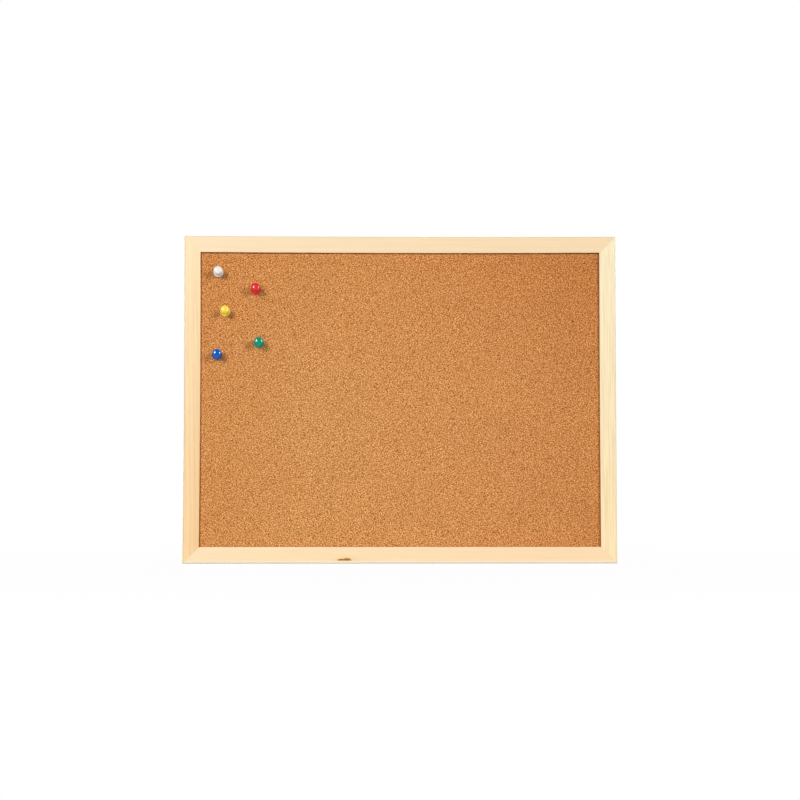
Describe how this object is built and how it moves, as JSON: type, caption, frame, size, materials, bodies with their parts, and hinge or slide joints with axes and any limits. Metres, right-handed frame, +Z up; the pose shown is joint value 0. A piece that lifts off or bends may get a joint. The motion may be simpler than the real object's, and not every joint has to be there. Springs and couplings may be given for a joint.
{
  "type": "pin badge board",
  "caption": "Small framed cork board for pinning badges and notices, with a mitred pine frame, push pins in the cork and swinging wall rings on the back.",
  "frame": {"origin": "middle of the board on the plane of the frame's back, which lies against the wall", "axes": "+X to the right seen from the front, +Y from the cork back to the wall, +Z up"},
  "size_m": [0.398, 0.0317, 0.301],
  "materials": {
    "pine": "planed, clear sealed",
    "cork": "sanded granulated cork",
    "softboard": "raw wood fibre",
    "kraft": "uncoated",
    "steel": "bright",
    "zinc": "zinc plated",
    "white_plastic": "moulded gloss",
    "red_plastic": "moulded gloss",
    "yellow_plastic": "moulded gloss",
    "green_plastic": "moulded gloss",
    "blue_plastic": "moulded gloss"
  },
  "bodies": {
    "board": {"top_rail": "pine", "bottom_rail": "pine", "left_stile": "pine", "right_stile": "pine", "cork_sheet": "cork", "softboard_core": "softboard", "kraft_liner": "kraft", "corner_nail_top_left": "steel", "corner_nail_top_right": "steel", "corner_nail_bottom_left": "steel", "corner_nail_bottom_right": "steel", "framer_point_top_1": "zinc", "framer_point_top_2": "zinc", "framer_point_top_3": "zinc", "framer_point_bottom_1": "zinc", "framer_point_bottom_2": "zinc", "framer_point_bottom_3": "zinc", "framer_point_left_1": "zinc", "framer_point_left_2": "zinc", "framer_point_right_1": "zinc", "framer_point_right_2": "zinc", "hanger_strap_left": "zinc", "hanger_strap_right": "zinc", "hanger_screw_left": "zinc", "hanger_screw_right": "zinc"},
    "white_pin": {"pin_head_white": "white_plastic", "pin_needle_white": "steel"},
    "red_pin": {"pin_head_red": "red_plastic", "pin_needle_red": "steel"},
    "yellow_pin": {"pin_head_yellow": "yellow_plastic", "pin_needle_yellow": "steel"},
    "green_pin": {"pin_head_green": "green_plastic", "pin_needle_green": "steel"},
    "blue_pin": {"pin_head_blue": "blue_plastic", "pin_needle_blue": "steel"},
    "left_ring": {"hanging_ring_left": "zinc"},
    "right_ring": {"hanging_ring_right": "zinc"}
  },
  "joints": [
    {"name": "white_pin_pull", "type": "slide", "parent": "board", "child": "white_pin", "axis": [0.0435, -0.9972, 0.061], "range_m": [0, 0.02]},
    {"name": "red_pin_pull", "type": "slide", "parent": "board", "child": "red_pin", "axis": [0.026, -0.9911, 0.1305], "range_m": [0, 0.02]},
    {"name": "yellow_pin_pull", "type": "slide", "parent": "board", "child": "yellow_pin", "axis": [0.0435, -0.9957, 0.0819], "range_m": [0, 0.02]},
    {"name": "green_pin_pull", "type": "slide", "parent": "board", "child": "green_pin", "axis": [0.0348, -0.997, 0.0698], "range_m": [0, 0.02]},
    {"name": "blue_pin_pull", "type": "slide", "parent": "board", "child": "blue_pin", "axis": [0.0695, -0.9945, 0.0785], "range_m": [0, 0.02]},
    {"name": "left_ring_swing", "type": "hinge", "parent": "board", "child": "left_ring", "pos_m": [-0.1925, 0.002, 0.1085], "axis": [1, 0, 0], "range_deg": [0, 180]},
    {"name": "right_ring_swing", "type": "hinge", "parent": "board", "child": "right_ring", "pos_m": [0.1925, 0.002, 0.1085], "axis": [1, 0, 0], "range_deg": [0, 180]}
  ]
}
